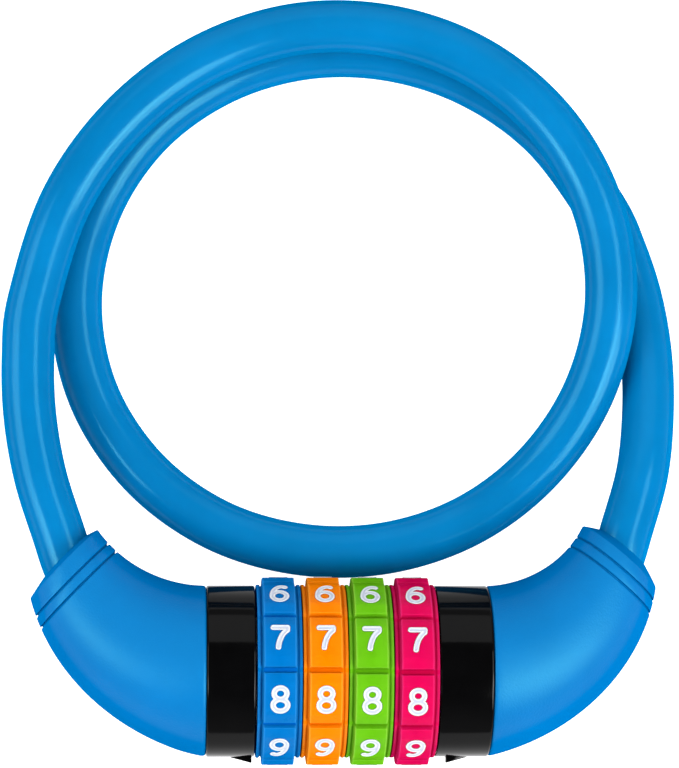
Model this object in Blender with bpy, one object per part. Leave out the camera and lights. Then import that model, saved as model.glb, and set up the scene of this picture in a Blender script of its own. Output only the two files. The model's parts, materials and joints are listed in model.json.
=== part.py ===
"""Coiled-cable combination lock with four number dials.

A sheathed wire rope runs in nearly two turns from one end of the lock head to the other.  The
head is a barrel with four dials, one collar and one boot, and a plug with the other collar and
boot.  When every dial shows its code digit at the index marks, the gates of the code rings line
up with the barrel's keyway and the toothed plug pulls out along +X.

Frame: +X along the barrel towards the plug, +Y from the head to the loop of cable, +Z up.  The
lock lies flat, and z = 0 is the surface it lies on.  Lengths are in metres.
"""
import math

import bmesh
import bpy
from mathutils import Vector

MM = 0.001

# Frame
AXIS_X = -0.41 * MM          # the barrel's middle, from the centre of the head's box
AXIS_Y = -4.81 * MM          # the barrel's axis, from the centre of the head's box
AXIS_Z = 17.61 * MM          # the barrel's axis, above the surface the lock lies on
GAP = 0.3 * MM               # clearance between neighbouring pieces

# Dials
DIAL_COUNT = 4
DIGITS = 10
DIAL_PITCH = 8.4 * MM
DIAL_WIDTH = DIAL_PITCH - GAP
RING_RADIUS = 16.2 * MM
RING_CHAMFER = 0.35 * MM
BLOCK_RADIUS = 17.5 * MM     # centre of a digit's flat face
BLOCK_WIDTH = 5.9 * MM
GROOVE_RADIUS = 16.3 * MM    # floor of the valley between two digits
SECTOR = 360.0 / DIGITS
FACE_HALF = 11.8             # degrees from a face's centre to its edge
VALLEY_HALF = 16.1           # degrees from a face's centre to the valley's floor
INDEX_ANGLE = 180.0          # degrees about X from +Y: the index marks point to -Y

# Code rings and barrel
DIAL_BORE = 9.7 * MM
DIAL_SPLINE = 10.5 * MM
CODE_WIDTH = 7.9 * MM
WEB_START = 0.4 * MM         # the web fills the ring from here to its plug side
WINDOW_RADIUS = 7.2 * MM
WEB_BORE = 5.7 * MM
NOTCH_RADIUS = 6.5 * MM
CORE_RADIUS = 5.4 * MM
CORE_BORE = 3.9 * MM
KEYWAY_WIDTH = 3.0 * MM
PIN_RADIUS = 3.5 * MM
TOOTH_RADIUS = 6.7 * MM
TOOTH_WIDTH = 2.3 * MM
TOOTH_LENGTH = 2.4 * MM
TOOTH_OFFSET = -2.0 * MM     # a tooth's centre from its dial's centre

# Collars, anchors and end plate
STACK_HALF = DIAL_COUNT * DIAL_PITCH / 2
COLLAR_RADIUS = 16.05 * MM
COLLAR_END = 26.6 * MM
COLLAR_CHAMFER = 0.45 * MM
COLLAR_WEB = 1.55 * MM
ANCHOR_RADIUS = 8.5 * MM
PLATE_RADIUS = 15.6 * MM
PLATE_WIDTH = 1.3 * MM
INDEX_HEIGHT = 1.1 * MM
INDEX_LENGTH = 4.0 * MM
INDEX_WIDTH = 2.6 * MM

# Boots: round sections in planes that fan about an upright line, from the collar to the mouth
BOOT_START = COLLAR_END + GAP
BOOT_RADIUS = 16.0 * MM
BOOT_FAN = {-1: (44.0, 46.7 * MM), 1: (49.4, 43.8 * MM)}   # side: bend in degrees, fan radius
BOOT_DRIFT = (6.5 * MM, 3.1 * MM)
BOOT_TAPER = (5.4 * MM, 1.6 * MM)
BOOT_SECTIONS = 8
BOOT_BORE = 5.75 * MM
BOOT_GROOVE = 0.35 * MM      # depth of the two grooves round the mouth

# Cable
CABLE_RADIUS = 5.0 * MM
SHEATH_WALL = 1.7 * MM
ROPE_RADIUS = 2.9 * MM
FERRULE_BORE = 3.3 * MM
BARE_END = 10.2 * MM         # length of rope without sheath at each end
FERRULE_START = 21.3 * MM
FERRULE_END = 30.8 * MM
FERRULE_TILT = 10.0          # degrees from the barrel's axis
SCREW_X = 23.6 * MM
SCREW_RADIUS = 1.5 * MM
SCREW_TOP = 8.2 * MM
SCREW_LENGTH = 2.8 * MM
CABLE_OFFSET = 0.9 * MM      # how far the cable leaves the middle of the mouth, inwards
LOOP_CENTRE = Vector((0.0, 71.0 * MM))    # from the barrel's axis
# The free run of the cable as bearing in degrees, radius in mm and height in mm
LOOP = (
    (-139.8, 70.3, 17.6), (-149.0, 66.8, 17.4), (-158.9, 63.6, 17.0), (-169.0, 60.9, 16.4),
    (-179.1, 58.8, 16.0), (-199.3, 55.8, 15.6), (-219.7, 53.8, 15.5), (-240.0, 52.8, 15.5),
    (-260.3, 52.5, 15.5), (-280.4, 52.3, 15.5), (-300.3, 52.4, 15.6), (-320.3, 52.3, 15.8),
    (-340.3, 51.9, 15.9), (-360.2, 51.3, 15.2), (-379.8, 50.5, 12.6), (-399.2, 49.6, 8.6),
    (-418.8, 48.8, 5.8), (-438.9, 48.2, 5.1), (-459.1, 48.3, 5.0), (-479.3, 49.2, 5.0),
    (-499.6, 50.2, 5.0), (-520.0, 51.0, 5.0), (-540.4, 51.1, 5.0), (-560.8, 50.7, 5.0),
    (-581.1, 50.2, 5.0), (-601.3, 49.6, 5.0), (-621.2, 49.4, 5.0), (-640.8, 49.7, 5.0),
    (-660.3, 50.7, 5.0), (-679.7, 52.3, 5.0), (-699.2, 54.3, 5.0), (-709.1, 55.8, 5.2),
    (-719.1, 57.7, 6.0), (-729.5, 59.9, 8.2), (-739.9, 62.5, 12.0), (-750.2, 66.0, 15.6),
    (-759.8, 69.7, 17.4),
)
ROUTE_STEP = 13.0 * MM       # distance between the tubes' points

ROUND = 36                   # sides of a large round piece
SMALL_ROUND = 16


def clear_scene():
    for obj in list(bpy.data.objects):
        bpy.data.objects.remove(obj, do_unlink=True)


def material(name, colour, roughness, metallic=0.0):
    mat = bpy.data.materials.new(name)
    mat.use_nodes = True
    shader = mat.node_tree.nodes["Principled BSDF"]
    shader.inputs["Base Color"].default_value = (*colour, 1.0)
    shader.inputs["Roughness"].default_value = roughness
    shader.inputs["Metallic"].default_value = metallic
    return mat


def empty(name, location):
    obj = bpy.data.objects.new(name, None)
    obj.location = location
    bpy.context.collection.objects.link(obj)
    return obj


def add_object(name, bm, mat, parent, location=(0.0, 0.0, 0.0)):
    """Turns a bmesh into a smooth-shaded object below the given empty."""
    bmesh.ops.remove_doubles(bm, verts=bm.verts, dist=1e-6)
    bmesh.ops.dissolve_degenerate(bm, edges=bm.edges, dist=1e-7)
    bmesh.ops.recalc_face_normals(bm, faces=bm.faces)
    mesh = bpy.data.meshes.new(name)
    bm.to_mesh(mesh)
    bm.free()
    mesh.shade_smooth()
    mesh.set_sharp_from_angle(angle=math.radians(35))
    mesh.materials.append(mat)
    obj = bpy.data.objects.new(name, mesh)
    obj.parent = parent
    obj.location = location
    bpy.context.collection.objects.link(obj)
    return obj


def cut(target, cutter, name):
    """Takes the cutter away from the target and hides it."""
    cutter.hide_render = True
    cutter.display_type = "WIRE"
    modifier = target.modifiers.new(name, "BOOLEAN")
    modifier.operation = "DIFFERENCE"
    modifier.solver = "EXACT"
    modifier.object = cutter


def around(x, radius, degrees):
    """A point at an angle about the X axis, counted from +Y towards +Z."""
    angle = math.radians(degrees)
    return Vector((x, radius * math.cos(angle), radius * math.sin(angle)))


def bridge(bm, low, high):
    """Quads between two closed loops of the same length."""
    for i in range(len(low)):
        j = (i + 1) % len(low)
        bm.faces.new((low[i], low[j], high[j], high[i]))


def turned(profile, sides=ROUND):
    """Turns a closed (x, radius) outline that stays off the X axis."""
    bm = bmesh.new()
    rings = []
    for x, radius in profile:
        rings.append([bm.verts.new(around(x, radius, 360.0 * i / sides)) for i in range(sides)])
    for i, ring in enumerate(rings):
        bridge(bm, ring, rings[(i + 1) % len(rings)])
    return bm


def turned_solid(profile, sides=ROUND):
    """Turns an open (x, radius) outline whose two ends close on the X axis."""
    bm = bmesh.new()
    rings = []
    for x, radius in profile:
        rings.append([bm.verts.new(around(x, radius, 360.0 * i / sides)) for i in range(sides)])
    for low, high in zip(rings, rings[1:]):
        bridge(bm, low, high)
    bm.faces.new(rings[0])
    bm.faces.new(rings[-1])
    return bm


def star_solid(outside, inside, angles):
    """A ring about the X axis; each surface is a list of layers of (x, radius of angle)."""
    bm = bmesh.new()
    ends = []
    for layers in (outside, inside):
        loops = [[bm.verts.new(around(x, radius(a), a)) for a in angles] for x, radius in layers]
        for low, high in zip(loops, loops[1:]):
            bridge(bm, low, high)
        ends.append((loops[0], loops[-1]))
    bridge(bm, ends[0][0], ends[1][0])
    bridge(bm, ends[0][1], ends[1][1])
    return bm


def box(bm, low, high):
    """Adds an upright box between two corners."""
    low = Vector(low)
    high = Vector(high)
    made = bmesh.ops.create_cube(bm, size=1.0)["verts"]
    size = high - low
    middle = (low + high) / 2
    for vert in made:
        vert.co = Vector(a * b for a, b in zip(vert.co, size)) + middle


def dial_angles():
    """Angles about X that catch every edge of the ten sectors."""
    offsets = (-VALLEY_HALF, -FACE_HALF, 0.0, FACE_HALF, VALLEY_HALF)
    return [SECTOR * i + offset for i in range(DIGITS) for offset in offsets]


def sector_offset(degrees):
    """Angle from the centre of the nearest sector."""
    return abs((degrees + SECTOR / 2) % SECTOR - SECTOR / 2)


def block_radius(degrees):
    """Flat digit faces with valleys between them."""
    offset = sector_offset(degrees)
    if offset <= FACE_HALF + 0.01:
        return BLOCK_RADIUS / math.cos(math.radians(offset) * 0.75)
    return GROOVE_RADIUS


def spline_radius(degrees, low, high):
    """Broad ribs at the sector centres, between a low and a high radius."""
    return high if sector_offset(degrees) <= FACE_HALF + 0.01 else low


def web_bore(degrees):
    """Bore of a code ring's web: a gate at the index angle and nine shallower detent notches."""
    from_gate = abs((degrees - INDEX_ANGLE + 180.0) % 360.0 - 180.0)
    depth = WINDOW_RADIUS if from_gate <= SECTOR / 2 else NOTCH_RADIUS
    return spline_radius(degrees, WEB_BORE, depth)


def dial_x(number):
    return (number - (DIAL_COUNT + 1) / 2) * DIAL_PITCH


def make_dial(number, colour, parent):
    """A plastic dial: a ring with ten raised digit blocks and a splined bore."""
    half = DIAL_WIDTH / 2
    flank = BLOCK_WIDTH / 2

    def bore(a):
        return spline_radius(a, DIAL_BORE, DIAL_SPLINE)

    def ring(a):
        return RING_RADIUS

    def edge(a):
        return RING_RADIUS - RING_CHAMFER

    outside = [
        (-half, edge), (-half + RING_CHAMFER, ring), (-flank, ring), (-flank, block_radius),
        (flank, block_radius), (flank, ring), (half - RING_CHAMFER, ring), (half, edge),
    ]
    solid = star_solid(outside, [(-half, bore), (half, bore)], dial_angles())
    add_object(f"dial_{number}", solid, material(f"dial_plastic_{number}", colour, 0.25), parent)


def make_code_ring(number, parent):
    """A metal ring inside a dial: a window for the tooth, then a web with the gate."""
    half = CODE_WIDTH / 2

    def rim(a):
        return spline_radius(a, DIAL_BORE - GAP, DIAL_SPLINE - GAP)

    def window(a):
        return WINDOW_RADIUS

    inside = [(-half, window), (WEB_START, window), (WEB_START, web_bore), (half, web_bore)]
    solid = star_solid([(-half, rim), (half, rim)], inside, dial_angles())
    mat = material(f"code_ring_metal_{number}", (0.55, 0.53, 0.48), 0.4, 1.0)
    add_object(f"code_ring_{number}", solid, mat, parent)


def make_detent_leaf(number, parent):
    """A bent strip in a pocket of the barrel core that clicks into the code ring's notches."""
    thickness = 0.3 * MM
    half_width = 0.6 * MM
    path = ((-3.0, 4.95), (-1.2, 4.95), (0.9, 5.25), (1.6, 5.55), (2.4, 5.55), (3.0, 5.2), (3.4, 4.95))
    bm = bmesh.new()
    rings = []
    for x, y in path:
        x = x * MM + dial_x(number)
        y = y * MM
        corners = ((y, -half_width), (y + thickness, -half_width), (y + thickness, half_width),
                   (y, half_width))
        rings.append([bm.verts.new((x, a, b)) for a, b in corners])
    for low, high in zip(rings, rings[1:]):
        bridge(bm, low, high)
    bm.faces.new(rings[0])
    bm.faces.new(rings[-1])
    mat = material(f"leaf_spring_{number}", (0.62, 0.6, 0.56), 0.3, 1.0)
    add_object(f"detent_leaf_{number}", bm, mat, parent)


def boot_section(side, u):
    """Middle, in-plane direction and radius of a boot's section at u from collar to mouth."""
    bend, fan = BOOT_FAN[side]
    angle = math.radians(bend * u)
    distance = fan - BOOT_DRIFT[0] * u - BOOT_DRIFT[1] * u * u
    radius = BOOT_RADIUS - BOOT_TAPER[0] * u - BOOT_TAPER[1] * u * u
    outwards = Vector((side * math.sin(angle), -math.cos(angle), 0.0))
    pivot = Vector((side * BOOT_START, fan, 0.0))
    return pivot + outwards * distance, outwards, radius


def cable_in_boot(side, u):
    """The cable's middle inside a boot, a little inwards of the boot's own middle."""
    middle, outwards, _ = boot_section(side, u)
    return middle - outwards * CABLE_OFFSET * u


def ring_in_plane(bm, middle, outwards, radius, sides, stretch=1.0):
    """A round loop in the upright plane that holds the given direction."""
    loop = []
    for i in range(sides):
        angle = 2 * math.pi * i / sides
        offset = outwards * (radius * stretch * math.cos(angle))
        loop.append(bm.verts.new(middle + offset + Vector((0.0, 0.0, radius * math.sin(angle)))))
    return loop


def boot_stations():
    """Stations along a boot as (u, cut in its skin), closer at the two grooves by the mouth."""
    stations = [(0.87 * i / (BOOT_SECTIONS - 1), 0.0) for i in range(BOOT_SECTIONS)]
    for middle in (0.89, 0.94):
        stations += [(middle - 0.01, 0.0), (middle, BOOT_GROOVE), (middle + 0.01, 0.0)]
    return stations + [(0.985, 0.0), (1.0, 0.5 * MM)]


def make_boot(name, side, parent, sides=24):
    """A curved, tapering boot with a bore for the cable and its ferrule."""
    bm = bmesh.new()
    skin = []
    for u, depth in boot_stations():
        middle, outwards, radius = boot_section(side, u)
        skin.append(ring_in_plane(bm, middle, outwards, radius - depth, sides))
    bore = []
    for i in range(BOOT_SECTIONS):
        u = i / (BOOT_SECTIONS - 1)
        _, outwards, _ = boot_section(side, u)
        bore.append(ring_in_plane(bm, cable_in_boot(side, u), outwards, BOOT_BORE, sides, 1.0 + 0.1 * u))
    for loops in (skin, bore):
        for low, high in zip(loops, loops[1:]):
            bridge(bm, low, high)
    bridge(bm, skin[0], bore[0])
    bridge(bm, skin[-1], bore[-1])
    add_object(name, bm, material(f"{name}_vinyl", (0.0, 0.22, 0.66), 0.5), parent)


def make_collar(name, side, web_end, hole, parent):
    """A black collar with a raised index wedge at its dial side."""
    profile = [
        (side * COLLAR_END, ANCHOR_RADIUS + GAP),
        (side * COLLAR_END, COLLAR_RADIUS - COLLAR_CHAMFER),
        (side * (COLLAR_END - COLLAR_CHAMFER), COLLAR_RADIUS),
        (side * (web_end + COLLAR_CHAMFER), COLLAR_RADIUS),
        (side * web_end, COLLAR_RADIUS - COLLAR_CHAMFER),
        (side * web_end, hole),
        (side * (web_end + COLLAR_WEB), hole),
        (side * (web_end + COLLAR_WEB), ANCHOR_RADIUS + GAP),
    ]
    collar = add_object(name, turned(profile), material(f"{name}_plastic", (0.01, 0.01, 0.01), 0.1),
                        parent)
    wedge = add_object(f"{name}_index_guide", index_wedge(side, web_end),
                       material(f"{name}_index_plastic", (0.01, 0.01, 0.01), 0.1), parent)
    wedge.hide_render = True
    wedge.display_type = "WIRE"
    union = collar.modifiers.new("index", "BOOLEAN")
    union.operation = "UNION"
    union.solver = "EXACT"
    union.object = wedge


def index_wedge(side, web_end):
    """The index mark: highest by the dials, running out to nothing along the collar."""
    near = web_end + COLLAR_CHAMFER
    far = near + INDEX_LENGTH
    root = COLLAR_RADIUS - 1.0 * MM
    bm = bmesh.new()
    loops = []
    for x, height, half in ((near, COLLAR_RADIUS + INDEX_HEIGHT, INDEX_WIDTH / 2),
                            (far, COLLAR_RADIUS + 0.05 * MM, INDEX_WIDTH / 4)):
        loops.append([bm.verts.new((side * x, -y, z)) for y, z in
                      ((root, -half), (height, -half), (height, half), (root, half))])
    bridge(bm, loops[0], loops[1])
    bm.faces.new(loops[0])
    bm.faces.new(loops[1])
    return bm


def ferrule_axis(side):
    """Start point and direction of a ferrule, tilted towards the boot's mouth."""
    tilt = math.radians(FERRULE_TILT)
    direction = Vector((side * math.cos(tilt), math.sin(tilt), 0.0))
    end = Vector((side * FERRULE_END, cable_in_boot(side, 0.13).y, 0.0))
    return end - direction * ((FERRULE_END - FERRULE_START) / math.cos(tilt)), direction


def along(bm, start, direction):
    """Moves a piece made about +X so that +X runs along the given direction."""
    turn = Vector((1.0, 0.0, 0.0)).rotation_difference(direction).to_matrix()
    for vert in bm.verts:
        vert.co = turn @ vert.co + start
    return bm


def make_ferrule(name, side, parent):
    """A crimped steel cup round the end of the wire rope."""
    start, direction = ferrule_axis(side)
    length = (FERRULE_END - FERRULE_START) / math.cos(math.radians(FERRULE_TILT))
    rim = 0.4 * MM
    crimp = 0.35 * MM
    third = length / 3
    profile = [(0.0, CABLE_RADIUS - rim), (rim, CABLE_RADIUS)]
    for groove in (third, 2 * third):
        profile += [(groove - 0.9 * MM, CABLE_RADIUS), (groove - 0.5 * MM, CABLE_RADIUS - crimp),
                    (groove + 0.5 * MM, CABLE_RADIUS - crimp), (groove + 0.9 * MM, CABLE_RADIUS)]
    profile += [(length - rim, CABLE_RADIUS), (length, CABLE_RADIUS - rim), (length, FERRULE_BORE),
                (1.2 * MM, FERRULE_BORE)]
    bm = turned_solid(profile, SMALL_ROUND)
    mat = material(f"{name}_steel", (0.6, 0.6, 0.6), 0.35, 1.0)
    add_object(name, along(bm, start, direction), mat, parent)


def cut_ferrule_seat(target, side, parent):
    """Opens a tilted socket for the ferrule and a threaded hole for its set screw."""
    start, direction = ferrule_axis(side)
    reach = 14.0 * MM
    radius = CABLE_RADIUS + GAP
    socket = along(turned_solid([(-GAP, radius), (reach, radius)], SMALL_ROUND), start, direction)
    socket = add_object(f"{target.name}_socket_cutter", socket, target.data.materials[0], parent)
    cut(target, socket, "ferrule_socket")
    hole = turned_solid([(0.0, SCREW_RADIUS + GAP), (SCREW_TOP + 2 * MM, SCREW_RADIUS + GAP)], SMALL_ROUND)
    hole = along(hole, Vector((side * SCREW_X, 0.0, 0.0)), Vector((0.0, 1.0, 0.0)))
    hole = add_object(f"{target.name}_screw_cutter", hole, target.data.materials[0], parent)
    cut(target, hole, "screw_hole")


def make_set_screw(name, side, parent):
    """A socket set screw that holds the ferrule in its anchor."""
    hex_radius = 0.8 * MM
    bottom = SCREW_TOP - SCREW_LENGTH
    profile = [(bottom, 0.7 * SCREW_RADIUS), (bottom + 0.4 * MM, SCREW_RADIUS), (SCREW_TOP, SCREW_RADIUS),
               (SCREW_TOP, hex_radius), (SCREW_TOP - 1.2 * MM, hex_radius)]
    bm = along(turned_solid(profile, 12), Vector((side * SCREW_X, 0.0, 0.0)), Vector((0.0, 1.0, 0.0)))
    add_object(name, bm, material(f"{name}_steel", (0.12, 0.12, 0.13), 0.4, 1.0), parent)


def make_barrel_core(parent):
    """The cast barrel: an anchor in the left collar and a slotted tube through the dials."""
    end = STACK_HALF + GAP / 2 + PLATE_WIDTH
    anchor_start = COLLAR_END - GAP
    anchor_end = STACK_HALF + GAP / 2 + COLLAR_WEB + GAP
    blind = STACK_HALF - 0.4 * MM
    profile = [(-anchor_start, ANCHOR_RADIUS), (-anchor_end, ANCHOR_RADIUS), (-anchor_end, CORE_RADIUS),
               (end, CORE_RADIUS), (end, CORE_BORE), (-blind, CORE_BORE)]
    mat = material("barrel_zinc", (0.5, 0.5, 0.52), 0.4, 1.0)
    core = add_object("barrel_core", turned_solid(profile, ROUND), mat, parent)
    slots = bmesh.new()
    half = KEYWAY_WIDTH / 2
    box(slots, (-blind, -2 * CORE_RADIUS, -half), (2 * end, -1.0 * MM, half))
    for number in range(1, DIAL_COUNT + 1):
        x = dial_x(number)
        box(slots, (x - 3.4 * MM, 4.6 * MM, -1.0 * MM), (x + 3.8 * MM, 2 * CORE_RADIUS, 1.0 * MM))
    cut(core, add_object("barrel_slot_cutter", slots, mat, parent), "slots")
    cut_ferrule_seat(core, -1, parent)


def make_plug_pin(parent):
    """The plug: an anchor in the right collar and a round pin with one tooth for each dial."""
    tip = -STACK_HALF + 2.2 * MM
    start = STACK_HALF + GAP / 2 + PLATE_WIDTH + GAP + COLLAR_WEB + GAP
    profile = [(tip, PIN_RADIUS - 0.8 * MM), (tip + 0.8 * MM, PIN_RADIUS), (start, PIN_RADIUS),
               (start, ANCHOR_RADIUS), (COLLAR_END - GAP, ANCHOR_RADIUS)]
    mat = material("plug_zinc", (0.62, 0.62, 0.64), 0.3, 1.0)
    pin = add_object("plug_pin", turned_solid(profile, ROUND), mat, parent)
    teeth = bmesh.new()
    half = TOOTH_WIDTH / 2
    for number in range(1, DIAL_COUNT + 1):
        x = dial_x(number) + TOOTH_OFFSET
        box(teeth, (x - TOOTH_LENGTH / 2, -TOOTH_RADIUS, -half), (x + TOOTH_LENGTH / 2, -1.0 * MM, half))
    guide = add_object("plug_teeth_guide", teeth, mat, parent)
    guide.hide_render = True
    guide.display_type = "WIRE"
    union = pin.modifiers.new("teeth", "BOOLEAN")
    union.operation = "UNION"
    union.solver = "EXACT"
    union.object = guide
    cut_ferrule_seat(pin, 1, parent)


def make_end_plate(parent):
    """The plate that keeps the dials on the barrel, with a notch for the teeth."""
    start = STACK_HALF + GAP / 2
    end = start + PLATE_WIDTH
    recess = 0.7 * MM
    lip = 8.2 * MM
    chamfer = 0.3 * MM
    profile = [(start, CORE_RADIUS + GAP), (start, PLATE_RADIUS), (end - chamfer, PLATE_RADIUS),
               (end, PLATE_RADIUS - chamfer), (end, lip), (end - recess, lip),
               (end - recess, CORE_RADIUS + GAP)]
    mat = material("end_plate_plastic", (0.012, 0.012, 0.012), 0.25)
    plate = add_object("barrel_end_plate", turned(profile), mat, parent)
    notch = bmesh.new()
    half = KEYWAY_WIDTH / 2
    box(notch, (start - MM, -WINDOW_RADIUS, -half), (end + MM, -2.0 * MM, half))
    cut(plate, add_object("end_plate_cutter", notch, mat, parent), "tooth_notch")


def make_retaining_clip(parent):
    """An open steel ring, seated in the end plate, whose gap leaves room for the teeth."""
    end = STACK_HALF + GAP / 2 + PLATE_WIDTH
    low = end - 0.4 * MM
    inner = CORE_RADIUS + GAP
    outer = 7.8 * MM
    half_gap = 20.0
    steps = 30
    bm = bmesh.new()
    loops = []
    for i in range(steps + 1):
        angle = INDEX_ANGLE + half_gap + (360.0 - 2 * half_gap) * i / steps
        loops.append([bm.verts.new(around(x, radius, angle)) for x, radius in
                      ((low, inner), (low, outer), (end, outer), (end, inner))])
    for first, second in zip(loops, loops[1:]):
        bridge(bm, first, second)
    bm.faces.new(loops[0])
    bm.faces.new(loops[-1])
    add_object("retaining_clip", bm, material("clip_steel", (0.3, 0.3, 0.3), 0.35, 1.0), parent)


def route_points():
    """The cable's route from ferrule to ferrule, from the barrel's axis."""
    points = []
    start, direction = ferrule_axis(-1)
    points += [start + direction * 1.6 * MM, start + direction * 6.0 * MM]
    points += [cable_in_boot(-1, u) for u in (0.17, 0.38, 0.6, 0.8, 0.97)]
    for bearing, radius, height in LOOP:
        angle = math.radians(bearing)
        flat = LOOP_CENTRE + radius * MM * Vector((math.cos(angle), math.sin(angle)))
        points.append(Vector((flat.x, flat.y, height * MM - AXIS_Z)))
    points += [cable_in_boot(1, u) for u in (0.97, 0.8, 0.6, 0.38, 0.17)]
    start, direction = ferrule_axis(1)
    points += [start + direction * 6.0 * MM, start + direction * 1.6 * MM]
    return points


def smooth_curve(points, per_span=16):
    """A dense Catmull-Rom curve through the points."""
    curve = []
    ends = [2 * points[0] - points[1]] + points + [2 * points[-1] - points[-2]]
    for a, b, c, d in zip(ends, ends[1:], ends[2:], ends[3:]):
        for i in range(per_span):
            t = i / per_span
            curve.append(0.5 * (2 * b + (c - a) * t + (2 * a - 5 * b + 4 * c - d) * t * t
                                + (3 * b - a - 3 * c + d) * t ** 3))
    curve.append(points[-1])
    return curve


def evenly_spaced(curve, skip, step):
    """Points at an even distance along the curve, leaving out the given length at each end."""
    lengths = [0.0]
    for a, b in zip(curve, curve[1:]):
        lengths.append(lengths[-1] + (b - a).length)
    count = round((lengths[-1] - 2 * skip) / step)
    spaced = []
    j = 0
    for i in range(count + 1):
        target = skip + (lengths[-1] - 2 * skip) * i / count
        while j < len(curve) - 2 and lengths[j + 1] < target:
            j += 1
        t = (target - lengths[j]) / (lengths[j + 1] - lengths[j])
        spaced.append(curve[j].lerp(curve[j + 1], t))
    return spaced


def make_tube(name, points, radius, mat, parent, caps, resolution):
    """A round tube along the points, as a curve with a bevel."""
    curve = bpy.data.curves.new(name, "CURVE")
    curve.dimensions = "3D"
    curve.bevel_depth = radius
    curve.bevel_resolution = resolution
    curve.use_fill_caps = caps
    spline = curve.splines.new("POLY")
    spline.points.add(len(points) - 1)
    for point, place in zip(spline.points, points):
        point.co = (*place, 1.0)
    spline.use_smooth = True
    curve.materials.append(mat)
    obj = bpy.data.objects.new(name, curve)
    obj.parent = parent
    bpy.context.collection.objects.link(obj)
    return obj


def make_cable(parent):
    """The wire rope and its sheath; the rope's bare ends reach into the ferrules."""
    curve = smooth_curve(route_points())
    places = evenly_spaced(curve, BARE_END, ROUTE_STEP)
    rope = material("wire_rope_steel", (0.5, 0.5, 0.5), 0.35, 1.0)
    make_tube("cable_core", [curve[0]] + places + [curve[-1]], ROPE_RADIUS, rope, parent, True, 2)
    vinyl = material("cable_vinyl", (0.0, 0.23, 0.68), 0.15)
    sheath = make_tube("cable_sheath", places, CABLE_RADIUS, vinyl, parent, False, 3)
    wall = sheath.modifiers.new("wall", "SOLIDIFY")
    wall.thickness = SHEATH_WALL
    wall.offset = -1.0
    wall.use_rim = True


def main():
    clear_scene()
    axis = empty("barrel_axis", (AXIS_X, AXIS_Y, AXIS_Z))
    plug = empty("plug_axis", (0.0, 0.0, 0.0))
    plug.parent = axis
    make_barrel_core(axis)
    make_end_plate(axis)
    make_retaining_clip(axis)
    make_collar("left_collar", -1, STACK_HALF + GAP / 2, CORE_RADIUS + GAP, axis)
    make_boot("left_boot", -1, axis)
    make_ferrule("left_ferrule", -1, axis)
    make_set_screw("left_set_screw", -1, axis)
    colours = ((0.0, 0.17, 0.66), (1.0, 0.26, 0.0), (0.1, 0.6, 0.0), (0.95, 0.0, 0.15))
    for number, colour in enumerate(colours, 1):
        dial_axis = empty(f"dial_axis_{number}", (dial_x(number), 0.0, 0.0))
        dial_axis.parent = axis
        make_dial(number, colour, dial_axis)
        make_code_ring(number, dial_axis)
        make_detent_leaf(number, axis)
    make_plug_pin(plug)
    make_collar("right_collar", 1, STACK_HALF + GAP / 2 + PLATE_WIDTH + GAP, PIN_RADIUS + GAP, plug)
    make_boot("right_boot", 1, plug)
    make_ferrule("right_ferrule", 1, plug)
    make_set_screw("right_set_screw", 1, plug)
    make_cable(axis)


main()
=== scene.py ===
"""Looks of the coiled-cable combination lock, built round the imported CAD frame.

Sizes are in metres, written as millimetres times MM.  Most shapes are described from the barrel's
axis (+X towards the plug, +Y towards the loop of cable, +Z up) and moved into the part's frame when
they become objects.  Angles about the barrel count from +Y towards +Z.
"""

import json
import math
from collections import Counter

import bmesh
import bpy
import numpy as np
from mathutils import Matrix, Vector
from mathutils.geometry import delaunay_2d_cdt


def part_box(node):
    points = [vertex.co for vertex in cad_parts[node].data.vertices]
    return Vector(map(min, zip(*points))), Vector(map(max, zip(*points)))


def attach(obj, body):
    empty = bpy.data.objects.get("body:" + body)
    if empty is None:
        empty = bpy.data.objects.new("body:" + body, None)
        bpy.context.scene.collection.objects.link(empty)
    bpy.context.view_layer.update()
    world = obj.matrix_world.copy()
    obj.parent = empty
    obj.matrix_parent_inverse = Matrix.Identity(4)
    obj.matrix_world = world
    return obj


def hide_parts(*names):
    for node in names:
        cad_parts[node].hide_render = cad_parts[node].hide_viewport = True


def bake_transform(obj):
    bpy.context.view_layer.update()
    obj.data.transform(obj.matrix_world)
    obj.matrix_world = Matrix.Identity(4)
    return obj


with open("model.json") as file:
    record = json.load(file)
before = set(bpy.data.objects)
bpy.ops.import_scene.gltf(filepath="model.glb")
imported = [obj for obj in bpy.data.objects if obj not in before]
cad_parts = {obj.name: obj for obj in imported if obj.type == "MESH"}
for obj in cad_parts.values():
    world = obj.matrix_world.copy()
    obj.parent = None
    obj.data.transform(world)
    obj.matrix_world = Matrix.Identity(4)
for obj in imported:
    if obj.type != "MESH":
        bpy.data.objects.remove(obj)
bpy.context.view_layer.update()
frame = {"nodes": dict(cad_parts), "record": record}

MM = 0.001
UP = Vector((0.0, 0.0, 1.0))


def middle_of(node):
    """The middle of a CAD node's box."""
    low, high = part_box(node)
    return (Vector(low) + Vector(high)) / 2


DIAL_COUNT = 4
DIAL_MIDDLES = [middle_of(f"dial_{number}") for number in range(1, DIAL_COUNT + 1)]
AXIS = sum(DIAL_MIDDLES, Vector()) / DIAL_COUNT

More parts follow.
